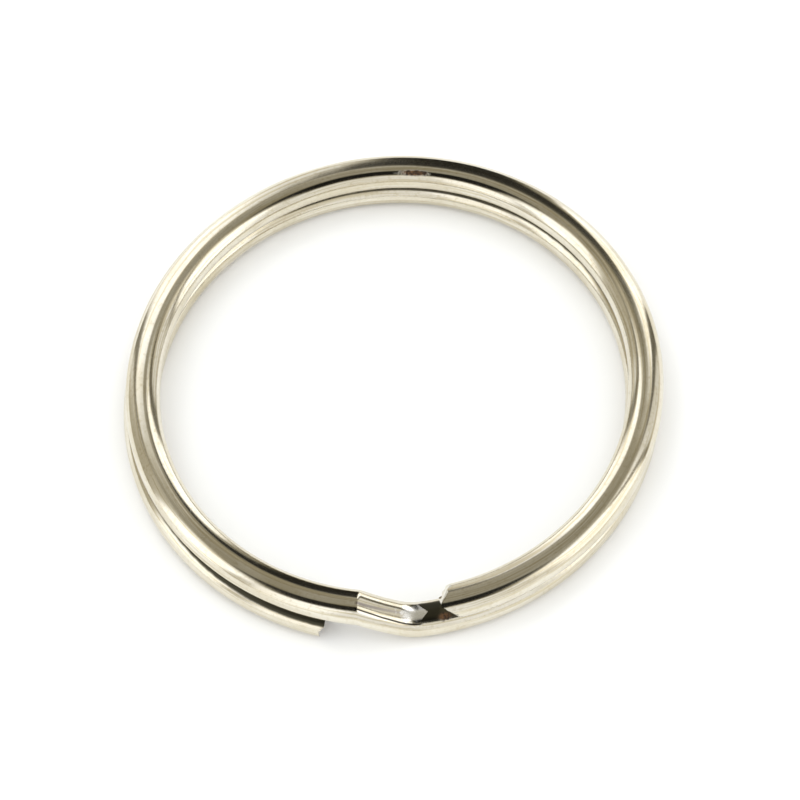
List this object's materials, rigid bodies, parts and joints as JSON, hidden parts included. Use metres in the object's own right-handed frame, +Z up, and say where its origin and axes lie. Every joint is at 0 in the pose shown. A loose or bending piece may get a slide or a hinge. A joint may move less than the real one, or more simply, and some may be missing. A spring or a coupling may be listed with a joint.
{
  "type": "split key ring",
  "caption": "Round split key ring of polished nickel-plated spring wire: stacked turns joined by a bent crossover, with sheared free ends that spring open to take a key.",
  "frame": {"origin": "on the axis of the upper turn, in the plane of the lower turn's bottom flat, which the ring rests on", "axes": "+Z up along the ring's axis, from the lower turn to the upper turn; the crossover and both free ends are on the -Y side, so +Y is the back of the ring, where the turns twist; the upper turn's free end is just to the +X side of the crossover"},
  "size_m": [0.0303, 0.03, 0.0033],
  "materials": {
    "nickel_wire": "bright nickel plate with a warm tone, drawn lines along the wire and light handling scratches",
    "sheared_end": "nickel plate marked by the shear, with bare steel and brown tarnish on the cut face"
  },
  "bodies": {
    "lower_free_half": {"lower_free_end": "sheared_end", "lower_front_left": "nickel_wire", "lower_left": "nickel_wire", "lower_back_left": "nickel_wire"},
    "crossover_half": {"lower_back_right": "nickel_wire", "lower_right": "nickel_wire", "lower_front_right": "nickel_wire", "crossover": "nickel_wire", "upper_front_left": "nickel_wire", "upper_left": "nickel_wire", "upper_back_left": "nickel_wire"},
    "upper_free_half": {"upper_back_right": "nickel_wire", "upper_right": "nickel_wire", "upper_front_right": "nickel_wire", "upper_free_end": "sheared_end"}
  },
  "joints": [
    {"name": "lower_mouth", "type": "hinge", "parent": "lower_free_half", "child": "crossover_half", "pos_m": [0.00068, 0.01405, 0.0008], "axis": [-0.998, 0.0631, 0], "range_deg": [0, 6], "stiffness_Nm_per_rad": 1.75, "springref_deg": -0.57},
    {"name": "upper_mouth", "type": "hinge", "parent": "crossover_half", "child": "upper_free_half", "pos_m": [-0.00065, 0.01401, 0.00248], "axis": [-0.9989, -0.0467, 0], "range_deg": [0, 6], "stiffness_Nm_per_rad": 1.75, "springref_deg": -0.57}
  ]
}
